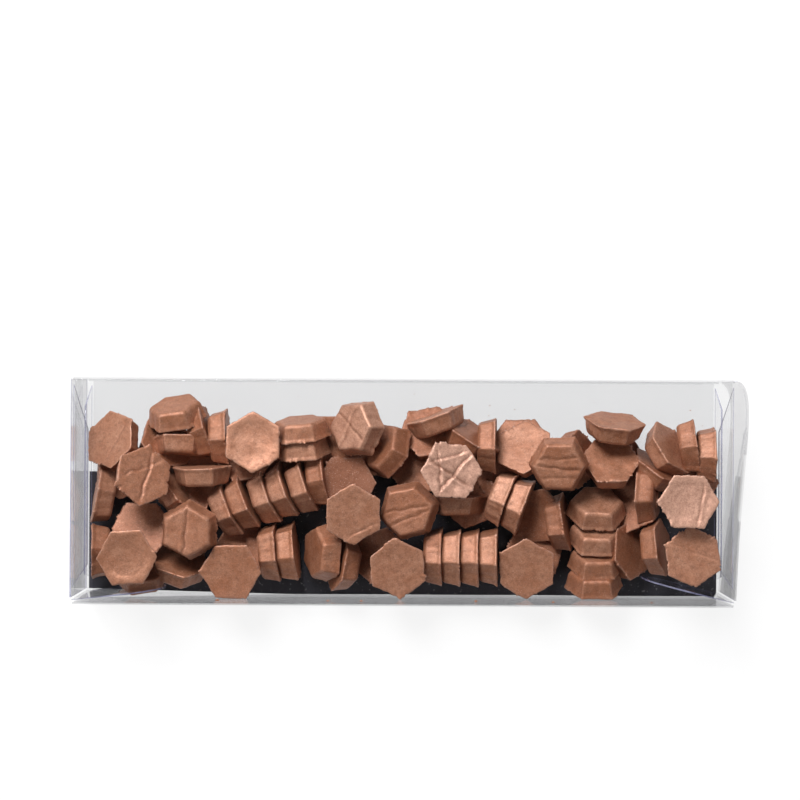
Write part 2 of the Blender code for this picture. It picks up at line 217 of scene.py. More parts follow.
@dataclass(frozen=True)
class WaxFinish:
    """Satin copper wax with a pearl sheen, paler on its edges from rubbing and a painted highlight, and
    darker in its hollows from painted shade.
    """

    name: str = "copper_wax"
    shade: Colour = (0.120, 0.038, 0.016)
    body: Colour = (0.350, 0.136, 0.068)
    light: Colour = (0.510, 0.262, 0.168)
    # Pale wax for rubbing marks and specks, also used as painted highlight on edges and on brightly lit
    # beads.
    rubbed_and_highlight: Colour = (0.720, 0.470, 0.380)
    clouds: Pattern = (330.0, 5.0, 0.65)
    streaks: Pattern = (1000.0, 3.0, 0.6)
    grains: Pattern = (3300.0, 3.0, 0.75)
    pits: Pattern = (1500.0, 3.0, 0.7)
    specks: Pattern = (4700.0, 1.0, 0.5)
    specular: float = 0.45
    roughness: float = 0.37
    metal: float = 0.28
    relief: float = 0.09 * MM

    def make(self) -> bpy.types.Material:
        """Return the wax material, which reads from each bead its paler edges, its painted shade in hollows,
        its lightness with any painted light, and its gloss.
        """
        kit = MaterialKit(self.name)
        tone, gloss, wear, hollow = (kit.attribute(key) for key in ("tone", "gloss", "wear", "hollow"))
        cloud, streak, grain = (kit.noise(item) for item in (self.clouds, self.streaks, self.grains))
        pits = kit.ramp(kit.noise(self.pits), ((0.60, 0.0), (0.70, 1.0)))
        speck = kit.ramp(kit.noise(self.specks), ((0.62, 0.0), (0.72, 1.0)))
        # Per-bead lightness: the wax's own differences between beads, and painted light too: above 0.9 it
        # paints a pale highlight onto brightly lit beads, and strongly below 0 it paints shade onto a bead
        # that lies in shadow.
        colour = kit.mix(cloud * 1.5 + tone * 0.6 - 0.55, self.body, self.light)
        colour = kit.mix(tone - 0.9, colour, self.rubbed_and_highlight)
        colour = kit.mix(tone * -0.9, colour, self.shade)
        colour = kit.mix(streak * 1.3 - 0.55, colour, self.shade)
        colour = kit.mix((grain * 2.1 - 0.92) * (0.3 + cloud), colour, self.shade)
        colour = kit.mix(pits * 0.3, colour, self.shade)
        # Painted shade in the hollows of each bead, where inward bends are drawn darker.
        colour = kit.mix(hollow * 0.6, colour, self.shade)
        # Outward bends drawn paler: partly real rubbing of the wax, partly a painted highlight along the
        # edges.
        colour = kit.mix(wear * (streak * 1.7 - 0.6), colour, self.rubbed_and_highlight)
        colour = kit.mix(speck * 0.25, colour, self.rubbed_and_highlight)
        height = grain * 0.7 + streak * 0.6 - pits * 0.5
        inputs = {
            "Base Color": colour,
            "Roughness": self.roughness + cloud * 0.16 + grain * 0.12 - gloss * 0.10,
            "Metallic": self.metal + gloss * 0.3,
            "Specular IOR Level": self.specular,
            "Normal": kit.bump(height, 0.5, self.relief),
        }
        return kit.surface(kit.node("ShaderNodeBsdfPrincipled", None, inputs))


@dataclass(frozen=True)
class FilmFinish:
    """Clear glossy film: nearly invisible from in front, greyer and more like a mirror at a glancing view."""

    name: str = "clear_film"
    tint: Colour = (0.935, 0.936, 0.938)
    smoke: Colour = (0.60, 0.60, 0.62)
    gloss: Colour = (0.74, 0.73, 0.75)
    wave: float = 0.12
    mirror: float = 0.75
    shading: float = 0.2
    waves: Pattern = (70.0, 2.0, 0.5)
    wave_height: float = 0.6 * MM
    scuffs: Pattern = (1400.0, 4.0, 0.7)
    roughness: float = 0.04
    smoke_falloff: float = 8.0
    mirror_falloff: float = 6.0
    least_mirror: float = 0.006

    def make(self) -> bpy.types.Material:
        """Return the film material."""
        kit = MaterialKit(self.name)
        waves = kit.bump(kit.noise(self.waves), self.wave, self.wave_height)
        scuffs = kit.ramp(kit.noise(self.scuffs), ((0.66, 0.0), (0.82, 1.0)))
        glance = kit.node("ShaderNodeLayerWeight", None, {"Blend": 0.5}, output="Facing")
        clear = kit.node("ShaderNodeBsdfTransparent", None, {"Color": (*self.tint, 1.0)})
        smoke = kit.node("ShaderNodeBsdfTransparent", None, {"Color": (*self.smoke, 1.0)})
        gloss = kit.node("ShaderNodeBsdfPrincipled", None, {
            "Base Color": (*self.gloss, 1.0),
            "Metallic": 1.0,
            "Roughness": self.roughness + scuffs * 0.2,
            "Normal": waves,
        })
        shading = glance ** self.smoke_falloff * self.shading
        sheet = kit.node("ShaderNodeMixShader", None, {0: shading, 1: clear, 2: smoke})
        factor = glance ** self.mirror_falloff * self.mirror + scuffs * 0.02 + self.least_mirror
        return kit.surface(kit.node("ShaderNodeMixShader", None, {0: factor, 1: sheet, 2: gloss}))


@dataclass(frozen=True)
class CutEdgeFinish:
    """Cut or creased edge of the film, which gathers light into a dark violet line."""

    name: str = "film_edge"
    deep: Colour = (0.105, 0.100, 0.210)
    pale: Colour = (0.420, 0.430, 0.560)
    clear: Colour = (0.930, 0.930, 0.960)
    streaks: Pattern = (240.0, 3.0, 0.5)
    cover: float = 0.62

    def make(self) -> bpy.types.Material:
        """Return the edge material."""
        kit = MaterialKit(self.name)
        streak = kit.noise(self.streaks)
        clear = kit.node("ShaderNodeBsdfTransparent", None, {"Color": (*self.clear, 1.0)})
        body = kit.node("ShaderNodeBsdfPrincipled", None, {
            "Base Color": kit.mix(streak * 1.4 - 0.35, self.deep, self.pale),
            "Roughness": 0.12 + streak * 0.1,
        })
        factor = streak * 0.4 + (self.cover - 0.2)
        return kit.surface(kit.node("ShaderNodeMixShader", None, {0: factor, 1: clear, 2: body}))


@dataclass(frozen=True)
class LabelFinish:
    """Blue-black coated paper with light dust on it."""

    name: str = "label_paper"
    ink: Colour = (0.021, 0.020, 0.026)
    faded: Colour = (0.052, 0.049, 0.066)
    dust: Colour = (0.35, 0.33, 0.34)
    clouds: Pattern = (120.0, 4.0, 0.6)
    fibres: Pattern = (2200.0, 3.0, 0.65)
    specks: Pattern = (1700.0, 2.0, 0.5)
    relief: float = 0.05 * MM

    def make(self) -> bpy.types.Material:
        """Return the label material."""
        kit = MaterialKit(self.name)
        cloud, fibre = kit.noise(self.clouds), kit.noise(self.fibres)
        specks = kit.ramp(kit.noise(self.specks), ((0.66, 0.0), (0.72, 1.0)))
        colour = kit.mix(cloud, self.ink, self.faded)
        colour = kit.mix(specks * 0.55, colour, self.dust)
        inputs = {
            "Base Color": colour,
            "Roughness": 0.42 + fibre * 0.25,
            "Normal": kit.bump(fibre, 0.3, self.relief),
        }
        return kit.surface(kit.node("ShaderNodeBsdfPrincipled", None, inputs))


@dataclass(frozen=True)
class FloorFinish:
    """White sweep under the carton, plain white to the camera apart from the carton's own shadow."""

    name: str = "white_sweep"
    white: Colour = (0.90, 0.90, 0.90)
    glow: float = 0.84

    def make(self) -> bpy.types.Material:
        """Return the floor material."""
        kit = MaterialKit(self.name)
        paths = kit.tree.nodes.new("ShaderNodeLightPath").outputs
        seen = Socket(kit, paths["Is Camera Ray"]) + Socket(kit, paths["Is Glossy Ray"])
        seen = seen + Socket(kit, paths["Is Transmission Ray"])
        paper = kit.node("ShaderNodeBsdfDiffuse", None, {"Color": (*self.white, 1.0)})
        lit = kit.node("ShaderNodeEmission", None, {"Color": (1.0, 1.0, 1.0, 1.0), "Strength": 1.0})
        clamped = {"operation": "MULTIPLY", "use_clamp": True}
        factor = kit.node("ShaderNodeMath", clamped, {0: seen, 1: self.glow})
        return kit.surface(kit.node("ShaderNodeMixShader", None, {0: factor, 1: paper, 2: lit}))


def deselect_all() -> None:
    """Leave every object unselected and none in edit mode."""
    if bpy.context.object and bpy.context.object.mode != "OBJECT":
        bpy.ops.object.mode_set(mode="OBJECT")
    bpy.ops.object.select_all(action="DESELECT")


def make_active(piece: bpy.types.Object) -> None:
    """Select one object alone and make it the active one."""
    deselect_all()
    piece.select_set(True)
    bpy.context.view_layer.objects.active = piece


@contextmanager
def editing(piece: bpy.types.Object, wanted: Callable[[bpy.types.MeshPolygon], bool]) -> Iterator[None]:
    """Edit a mesh with only the wanted faces selected.

    Args:
        piece: Object whose mesh is edited.
        wanted: Test that a face has to answer to be selected.

    Returns:
        A context in edit mode, which ends in object mode.
    """
    make_active(piece)
    bpy.context.tool_settings.mesh_select_mode = (False, False, True)
    mesh = piece.data
    mesh.vertices.foreach_set("select", [False] * len(mesh.vertices))
    mesh.edges.foreach_set("select", [False] * len(mesh.edges))
    mesh.polygons.foreach_set("select", [wanted(face) for face in mesh.polygons])
    bpy.ops.object.mode_set(mode="EDIT")
    yield
    bpy.ops.object.mode_set(mode="OBJECT")


def every_face(_face: bpy.types.MeshPolygon) -> bool:
    """Answer yes for each face."""
    return True


def apply_modifier(piece: bpy.types.Object, kind: str, **settings: Any) -> None:
    """Add one modifier to a piece and apply it."""
    make_active(piece)
    modifier = piece.modifiers.new(kind.lower(), kind)
    for key, value in settings.items():
        setattr(modifier, key, value)
    bpy.ops.object.modifier_apply(modifier=modifier.name)


def points_of(mesh: bpy.types.Mesh) -> np.ndarray:
    """Return the places of a mesh's points, one row each."""
    flat = np.empty(len(mesh.vertices) * 3, dtype=np.float64)
    mesh.vertices.foreach_get("co", flat)
    return flat.reshape(-1, 3)


def set_points(mesh: bpy.types.Mesh, points: np.ndarray) -> None:
    """Move a mesh's points to new places."""
    mesh.vertices.foreach_set("co", points.astype(np.float32).ravel())
    mesh.update()


def normals_of(mesh: bpy.types.Mesh) -> np.ndarray:
    """Return the normals at a mesh's points, one row each."""
    return np.array([tuple(vertex.normal) for vertex in mesh.vertices])


def set_number(mesh: bpy.types.Mesh, name: str, values: np.ndarray) -> None:
    """Store one number for each point of a mesh."""
    layer = mesh.attributes.get(name) or mesh.attributes.new(name, "FLOAT", "POINT")
    layer.data.foreach_set("value", np.asarray(values, dtype=np.float32))


def noise_at(points: np.ndarray, scale: float, seed: float) -> np.ndarray:
    """Return smooth noise from about -1 to 1.

    Args:
        points: Places, one row each.
        scale: How fast the noise changes, per unit of length.
        seed: Shift that makes one pattern differ from the next.

    Returns:
        One number for each place.
    """
    shift = Vector((seed * 7.31, seed * 3.17, seed * 5.23))
    return np.array([noise.noise(Vector(point) * scale + shift) for point in points])


def make_piece(name: str, mesh: bpy.types.Mesh, materials: Sequence[bpy.types.Material]) -> bpy.types.Object:
    """Link a finished mesh as an object at the origin.

    Args:
        name: Name of the piece.
        mesh: Its mesh, already in place.
        materials: Its materials, in slot order.

    Returns:
        The new object.
    """
    mesh.materials.clear()
    for material in materials:
        mesh.materials.append(material)
    piece = bpy.data.objects.new(name, mesh)
    bpy.context.scene.collection.objects.link(piece)
    return piece


def add_box(middle: Vector, size: Vector) -> bpy.types.Object:
    """Add a box of a given size about its middle."""
    deselect_all()
    bpy.ops.mesh.primitive_cube_add(size=1, location=middle, scale=size)
    bpy.ops.object.transform_apply(location=True, rotation=True, scale=True)
    return bpy.context.object


def join(pieces: Sequence[bpy.types.Object]) -> bpy.types.Object:
    """Join pieces into the first of them and return it."""
    make_active(pieces[0])
    for piece in pieces[1:]:
        piece.select_set(True)
    if len(pieces) > 1:
        bpy.ops.object.join()
    return pieces[0]


def carry(piece: bpy.types.Object, body: str, slot: str, *nodes: str) -> None:
    """Let a piece ride on a body and stand for the solids it replaces."""
    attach(piece, body)
    if nodes:
        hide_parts(*nodes)
    LOG.info("%s rides on %s, %d faces", piece.name, body, len(piece.data.polygons))


class Face(Enum):
    """How the upper face of a bead came out of its mould."""

    PLAIN = "plain"
    DISHED = "dished"
    CRUMPLED = "crumpled"


@dataclass(frozen=True)
class Crease:
    """One fold line across a face: degrees from +X, then its shift, depth and wander in mm."""

    angle: float
    shift: float = 0.0
    depth: float = 0.16
    wander: float = 0.35


@dataclass(frozen=True)
class BeadLook:
    """What sets one bead apart: face, fold lines, how light its wax is (also painted shade or highlight for a
    bead in shadow or bright light), how ragged its rim and how glossy.
    """

    face: Face = Face.PLAIN
    creases: tuple[Crease, ...] = ()
    tone: float | None = None
    burr: float = 1.0
    gloss: float = 0.1


@dataclass(frozen=True)
class BuriedBead:
    """A bead between the solid ones: place and least height in mm, tip, heading and spin in degrees."""

    x: float
    y: float
    tip: float
    heading: float
    spin: float = 0.0
    perch: float = 0.0
    narrow_up: bool = False


THREE_FOLDS = (Crease(4, 1.6, 0.12), Crease(-6, -0.3, 0.15), Crease(2, -2.2, 0.10))
PINCHED = (Crease(50, 0.8, 0.30), Crease(-35, 0.5, 0.26), Crease(95, -2.2, 0.22), Crease(15, -2.8, 0.18))
# A bead's lightness below zero draws it darker, painted shade for bead_34, which lies in shadow; above 0.9 it
# draws a pale painted highlight on the beads that catch the most light.
SPECIAL_BEADS = {
    "bead_11": BeadLook(tone=-0.35, burr=1.4),
    "bead_13": BeadLook(tone=-0.2),
    "bead_24": BeadLook(tone=0.15, burr=1.4),
    "bead_25": BeadLook(Face.CRUMPLED, tone=0.1),
    "bead_26": BeadLook(tone=-0.35),
    "bead_28": BeadLook(Face.CRUMPLED, tone=0.2, burr=1.5),
    "bead_30": BeadLook(Face.CRUMPLED, tone=0.05, burr=1.5),
    "bead_31": BeadLook(Face.PLAIN, (Crease(60, 1.5, 0.10),), tone=0.5, burr=1.5, gloss=0.4),
    "bead_32": BeadLook(Face.CRUMPLED, (Crease(70, 0.5, 0.22), Crease(20, -1.5, 0.15)), tone=0.1, burr=1.8),
    "bead_33": BeadLook(Face.PLAIN, (Crease(62, 0.4, 0.15), Crease(-38, 0.2, 0.12)), tone=1.0, gloss=0.6),
    "bead_34": BeadLook(Face.DISHED, (Crease(70, 0.2, 0.10),), tone=-0.65, burr=1.5, gloss=-2.6),
    "bead_35": BeadLook(Face.DISHED, tone=0.4, burr=0.6, gloss=0.7),
    "bead_36": BeadLook(Face.PLAIN, (Crease(84, 0.3, 0.22),), tone=0.1),
    "bead_37": BeadLook(tone=0.05, burr=0.8),
    "bead_38": BeadLook(Face.DISHED, tone=0.5, burr=0.8, gloss=0.4),
    "bead_39": BeadLook(Face.PLAIN, (Crease(25, 3.4, 0.10),), tone=0.5, burr=0.8, gloss=0.4),
    "bead_40": BeadLook(Face.PLAIN, (Crease(10, 0.5, 0.10), Crease(24, -1.3, 0.12)), tone=-0.1),
    "bead_41": BeadLook(tone=0.45, gloss=0.3),
    "bead_42": BeadLook(Face.CRUMPLED, PINCHED, tone=1.25, burr=1.5, gloss=0.35),
    "bead_43": BeadLook(tone=0.3, gloss=0.3),
    "bead_44": BeadLook(Face.PLAIN, THREE_FOLDS, tone=0.0),
    "bead_45": BeadLook(Face.DISHED, (Crease(80, 2.4, 0.14),), tone=1.2, gloss=0.35),
    "bead_46": BeadLook(Face.PLAIN, (Crease(-20, -1.0, 0.08),), tone=0.5, burr=1.2, gloss=0.3),
}

BURIED_BEADS = tuple(BuriedBead(*row) for row in (
    (-16.6, 1.6, 84, 12, 10),
    (16.4, 8.6, 86, 0, 6),
    (55.8, 8.5, 84, 8, 5),
    (-39.6, 10.8, 84, 20, 12),
    (13.0, 9.6, 70, 60, 20),
    (30.5, -6.5, 76, 10, 30),
    (37.6, -17.4, 66, 92, 2, 4.5, True),
    (-51.0, -8.4, 20, 90, 2, 6.2),
    (-51.0, -17.2, 62, 95, 10),
    (-11.4, -14.6, 70, 170, 20),
    (-3.8, -13.6, 14, 170, 20, 3.4),
    (3.0, 4.2, 10, 90, 4),
    (33.0, 6.0, 50, 0, 30),
    (49.6, 3.4, 70, 60, 10),
    (-47.0, 8.5, 40, 40, 10),
    (-31.0, 5.5, 30, 90, 10),
    (-20.0, 7.0, 12, 200, 10),
    (-8.5, 7.5, 20, 200, 10),
    (23.0, 8.5, 30, 100, 0),
    (41.5, 6.0, 12, 10, 0),
    (-55.5, 3.5, 30, 10, 20),
    (-42.0, -1.5, 25, 120, 15),
    (-31.5, -12.5, 20, 60, 0),
    (45.5, -3.0, 30, 150, 20),
    (13.5, -2.0, 12, 150, 20),
    (5.0, 10.5, 30, 90, 10),
    (-39.5, 5.0, 10, 60, 0),
    (18.5, 4.5, 8, 30, 0),
    (-26.0, 4.0, 8, 100, 0),
    (-14.5, 9.0, 14, 40, 0),
    (56.0, 1.5, 10, 0, 0),
    (26.5, -5.0, 20, 200, 10),
    (43.6, -12.0, 48, 10, 20),
))


@dataclass
class WaxBeads:
    """The carton's fill: hexagonal wax tablets with a wide flashed face and a narrow chamfered one.

    Lengths are in millimetres. A pair of numbers for lumps is the noise's scale per mm and its height, and
    for the paler edges (rubbing and painted highlight) and the painted shade in hollows the bend where it
    starts and the bend over which it grows.
    """

    radius: float = 5.8
    thickness: float = 3.6
    rim: float = 0.4
    chamfer: float = 0.5
    draft: float = math.radians(13.0)
    bevel: float = 0.12
    voxel: float = 0.21
    flange: float = 0.28
    slip: float = 0.22
    twist: float = math.radians(7.0)
    base_top: float = 0.45
    clearance: float = 0.2
    # Buried beads are drawn a little darker as painted shade for their low place among the others.
    buried_painted_shade: float = -0.2
    swell: tuple[float, float] = (0.30, 0.10)
    dents: tuple[float, float] = (0.85, 0.025)
    grain: tuple[float, float] = (2.1, 0.012)
    crumple: float = 2.6
    dish: float = 0.42
    sag: float = 0.10
    face_band: float = 0.6
    groove: float = 0.26
    ridge: float = 0.4
    ridge_shift: float = 0.6
    ridge_share: float = 0.45
    rim_band: float = 0.75
    tear: float = 0.5
    curl: float = 0.20
    # Bends where the paler edges (rubbing and painted highlight) and the painted shade in hollows begin and
    # grow.
    wear_and_highlight_bend: tuple[float, float] = (0.05, 0.22)
    hollow_shade_bend: tuple[float, float] = (0.02, 0.10)

    def model_tablet(self) -> bpy.types.Mesh:
        """Model one fresh tablet in millimetres about its middle, narrow face up.

        Returns:
            An evenly meshed tablet.
        """
        deselect_all()
        low = -self.thickness / 2
        bpy.ops.mesh.primitive_cylinder_add(vertices=6, radius=self.radius, depth=self.rim,
                                            location=(0, 0, low + self.rim / 2), rotation=(0, 0, math.pi / 6))
        bpy.ops.object.transform_apply(location=True, rotation=True, scale=True)
        tablet = bpy.context.object
        wall = self.thickness - self.rim - self.chamfer
        shoulder = 1 - wall * math.tan(self.draft) / self.radius
        crown = 1 - self.chamfer / (self.radius * shoulder)
        with editing(tablet, lambda face: face.normal.z > FACING):
            for height, share in ((wall, shoulder), (self.chamfer, crown)):
                bpy.ops.mesh.extrude_region_move(TRANSFORM_OT_translate={"value": (0, 0, height)})
                bpy.ops.transform.resize(value=(share, share, 1), center_override=(0, 0, 0))
        with editing(tablet, every_face):
            bpy.ops.mesh.bevel(offset=self.bevel, segments=2, profile=0.6)
        apply_modifier(tablet, "REMESH", mode="VOXEL", voxel_size=self.voxel)
        apply_modifier(tablet, "SMOOTH", factor=0.5, iterations=2)
        mesh = tablet.data.copy()
        bpy.data.objects.remove(tablet, do_unlink=True)
        return mesh

    def poses_of(self, node: bpy.types.Object, draw: random.Random) -> list[Matrix]:
        """Find how a solid bead lies, or each bead of a solid stick of beads.

        Args:
            node: The solid's object, with its place in its mesh.
            draw: Source of the small twists and slips within a stick.

        Returns:
            The turn and place of each tablet whose narrow face is up, in metres, from the wide end on.
        """
        mesh = node.data
        shares: dict[tuple[float, ...], float] = {}
        for face in mesh.polygons:
            key = tuple(round(value, 3) for value in face.normal)
            shares[key] = shares.get(key, 0.0) + face.area
        wide = Vector(max(shares, key=shares.get)).normalized()
        points = points_of(mesh)
        along = points @ np.array(wide)
        rim = points[along > along.max() - MERGE_DISTANCE]
        rim = np.unique(rim.round(7), axis=0)
        middle = Vector(rim.mean(axis=0))
        corner = Vector(rim[np.argmax(np.linalg.norm(rim - rim.mean(axis=0), axis=1))])
        x_axis = (corner - middle - wide * (corner - middle).dot(wide)).normalized()
        turn = Matrix((x_axis, x_axis.cross(wide), -wide)).transposed().to_4x4()
        step = self.thickness * MM
        count = round((along.max() - along.min()) / step)
        poses = []
        for number in range(count):
            pose = Matrix.Translation(middle - wide * step * (number + 0.5)) @ turn
            if count > 1:
                slip = Vector((draw.uniform(-1, 1), draw.uniform(-1, 1), 0)) * self.slip * MM
                twist = Matrix.Rotation(draw.uniform(-1, 1) * self.twist, 4, "Z")
                pose = pose @ Matrix.Translation(slip) @ twist
            poses.append(pose)
        return poses

    def buried_pose(self, bead: BuriedBead, tablet: np.ndarray) -> Matrix:
        """Lay a buried bead.

        Args:
            bead: Its place and tip.
            tablet: Points of the fresh tablet in millimetres.

        Returns:
            The turn and place of the tablet, in metres.
        """
        across = Vector((-math.sin(math.radians(bead.heading)), math.cos(math.radians(bead.heading)), 0.0))
        turn = Matrix.Rotation(math.radians(bead.tip), 3, across)
        turn = turn @ Matrix.Rotation(math.radians(bead.spin), 3, "Z")
        if not bead.narrow_up:
            turn = turn @ Matrix.Rotation(math.pi, 3, "X")
        lowest = (tablet @ np.array(turn).T)[:, 2].min()
        height = max(self.base_top + self.clearance - lowest, self.base_top + bead.perch)
        place = Vector((bead.x, bead.y, height)) * MM
        return Matrix.Translation(place) @ turn.to_4x4()

    def age(self, points: np.ndarray, normals: np.ndarray, look: BeadLook, turn: Matrix,
            seed: int) -> np.ndarray:
        """Give a tablet its lumps, flash, dish and fold lines.

        Args:
            points: Points of the fresh tablet in millimetres.
            normals: Normals there.
            look: What sets this bead apart.
            turn: How the bead lies, which carries fold lines from the carton's directions to the tablet's.
            seed: Number that makes this bead differ from the others.

        Returns:
            The new places of the points.
        """
        crumple = self.crumple if look.face is Face.CRUMPLED else 1.0
        lumps = noise_at(points, self.swell[0], seed) * self.swell[1] * crumple
        lumps += noise_at(points, self.dents[0], seed + 0.5) * self.dents[1] * crumple
        lumps += noise_at(points, self.grain[0], seed + 0.9) * self.grain[1]
        aged = points + normals * lumps[:, None]
        reach = np.linalg.norm(points[:, :2], axis=1)
        outward = points[:, :2] / np.maximum(reach, 1e-6)[:, None]
        ring = np.column_stack([outward * 2.3, np.zeros(len(points))])
        uneven = noise_at(ring, 0.5, seed + 3.3) * 0.06 + noise_at(ring, 2.2, seed + 3.9) * 0.022
        aged[:, :2] *= 1 + uneven[:, None]
        spread = reach / (0.9 * self.radius)
        self.press_face(aged, points, spread, look, turn, seed)
        tear = noise_at(ring, 1.6, seed + 1.7) * 1.3 + noise_at(ring, 6.7, seed + 2.1) * 1.1
        flash = np.clip(tear - 0.38, 0, 0.9)
        nick = np.clip(noise_at(ring, 3.4, seed + 4.4) * 1.4 - 0.45, 0, 0.6)
        on_rim = np.clip(1 - (points[:, 2] + self.thickness / 2) / self.rim_band, 0, 1)
        on_rim = on_rim * np.clip((spread - 0.80) / 0.16, 0, 1)
        ragged = self.flange + (flash * self.tear - nick * self.tear) * look.burr
        aged[:, :2] += outward * (on_rim * ragged)[:, None]
        aged[:, 2] -= on_rim * flash * self.curl * look.burr
        return aged

    def press_face(self, aged: np.ndarray, points: np.ndarray, spread: np.ndarray, look: BeadLook,
                   turn: Matrix, seed: int) -> None:
        """Press the dish and the fold lines into the face that lies up.

        Args:
            aged: Places of the points so far, which are changed.
            points: Points of the fresh tablet in millimetres.
            spread: How far out each point lies, about 1 at the rim.
            look: What sets this bead apart.
            turn: How the bead lies.
            seed: Number of the bead.
        """
        wide_up = turn[2][2] < 0
        inward = 1.0 if wide_up else -1.0
        face_height = -inward * self.thickness / 2
        on_face = np.clip(1 - np.abs(points[:, 2] - face_height) / self.face_band, 0, 1)
        on_face = on_face * np.clip(3 * (1.02 - spread), 0, 1)
        depth = self.dish if look.face is Face.DISHED else self.sag
        aged[:, 2] += inward * on_face * depth * np.clip(1 - spread ** 2, 0, 1)
        flat = Matrix(turn).inverted()
        for crease in look.creases:
            angle = math.radians(crease.angle)
            along = flat @ Vector((math.cos(angle), math.sin(angle), 0))
            along = Vector((along.x, along.y)).normalized()
            across = np.array((-along.y, along.x))
            wander = noise_at(points * (1, 1, 0), 0.55, seed + crease.shift) * crease.wander
            off = points[:, :2] @ across - crease.shift + wander
            groove = -crease.depth * np.exp(-(off / self.groove) ** 2)
            ridge = np.exp(-((off - self.ridge_shift) / self.ridge) ** 2)
            ridge = self.ridge_share * crease.depth * ridge
            aged[:, 2] -= inward * on_face * (groove + ridge)

    def mark_wear_and_painted_light(self, mesh: bpy.types.Mesh, tone: float, gloss: float) -> None:
        """Store on a bead its paler edges (rubbing and painted highlight), its painted shade in hollows, its
        lightness and its gloss.

        Args:
            mesh: The aged tablet.
            tone: How light the bead's wax is, from -1 for dark to 1 for pale; it also carries painted light,
                low for a bead in shadow and above 0.9 for a brightly lit one.
            gloss: How glossy it is, up to 1, and below 0 for matt.
        """
        points, normals = points_of(mesh), normals_of(mesh)
        ends = np.empty(len(mesh.edges) * 2, dtype=np.int64)
        mesh.edges.foreach_get("vertices", ends)
        first, second = ends.reshape(-1, 2).T
        step = points[second] - points[first]
        step /= np.linalg.norm(step, axis=1)[:, None]
        bend = np.zeros(len(points))
        count = np.zeros(len(points))
        np.add.at(bend, first, -np.einsum("ij,ij->i", normals[first], step))
        np.add.at(bend, second, np.einsum("ij,ij->i", normals[second], step))
        np.add.at(count, ends, 1)
        bend /= np.maximum(count, 1)
        for _ in range(2):
            shared = np.zeros(len(points))
            np.add.at(shared, first, bend[second])
            np.add.at(shared, second, bend[first])
            bend = 0.5 * bend + 0.5 * shared / np.maximum(count, 1)
        # Outward bends mark the paler edges, partly rubbing and partly painted highlight; inward bends mark
        # painted shade in hollows.
        set_number(mesh, "wear", np.clip((bend - self.wear_and_highlight_bend[0]) / self.wear_and_highlight_bend[1], 0, 1))
        set_number(mesh, "hollow", np.clip((-bend - self.hollow_shade_bend[0]) / self.hollow_shade_bend[1], 0, 1))
        set_number(mesh, "tone", np.full(len(points), tone))
        set_number(mesh, "gloss", np.full(len(points), gloss))

    def finish_bead(self, name: str, tablet: bpy.types.Mesh, pose: Matrix, look: BeadLook, seed: int,
                    wax: bpy.types.Material) -> bpy.types.Object:
        """Age a copy of the tablet and put it in its place.

        Args:
            name: Name of the piece.
            tablet: The fresh tablet, in millimetres.
            pose: Its turn and place, in metres.
            look: What sets it apart.
            seed: Number of the bead.
            wax: Its material.

        Returns:
            The finished piece.
        """
        draw = random.Random(seed)
        tone = draw.uniform(-0.15, 0.55) if look.tone is None else look.tone
        mesh = tablet.copy()
        mesh.name = name
        set_points(mesh, self.age(points_of(mesh), normals_of(mesh), look, pose.to_3x3(), seed))
        self.mark_wear_and_painted_light(mesh, tone, look.gloss)
        mesh.transform(pose @ Matrix.Scale(MM, 4))
        piece = make_piece(name, mesh, [wax])
        make_active(piece)
        bpy.ops.object.shade_smooth()
        return piece

    def build(self, nodes: dict[str, bpy.types.Object], bodies: dict[str, str],
              wax: bpy.types.Material) -> None:
        """Replace each solid bead and fill the gaps between them with buried ones.

        Args:
            nodes: Solids by name.
            bodies: Body of each solid.
            wax: Their material.
        """
        tablet = self.model_tablet()
        names = sorted(name for name in nodes if name.startswith("bead_"))
        for seed, name in enumerate(names, start=1):
            look = SPECIAL_BEADS.get(name, BeadLook())
            beads = []
            for number, pose in enumerate(self.poses_of(nodes[name], random.Random(seed))):
                beads.append(self.finish_bead("wax_" + name, tablet, pose, look, seed + 100 * number, wax))
            carry(join(beads), bodies[name], WAX_SLOT, name)
        points = points_of(tablet)
        for number, bead in enumerate(BURIED_BEADS, start=1):
            look = BeadLook(tone=self.buried_painted_shade)
            pose = self.buried_pose(bead, points)
            name = f"buried_bead_{number:02d}"
            piece = self.finish_bead(name, tablet, pose, look, len(names) + number, wax)
            carry(piece, CARTON_BODY, WAX_SLOT)


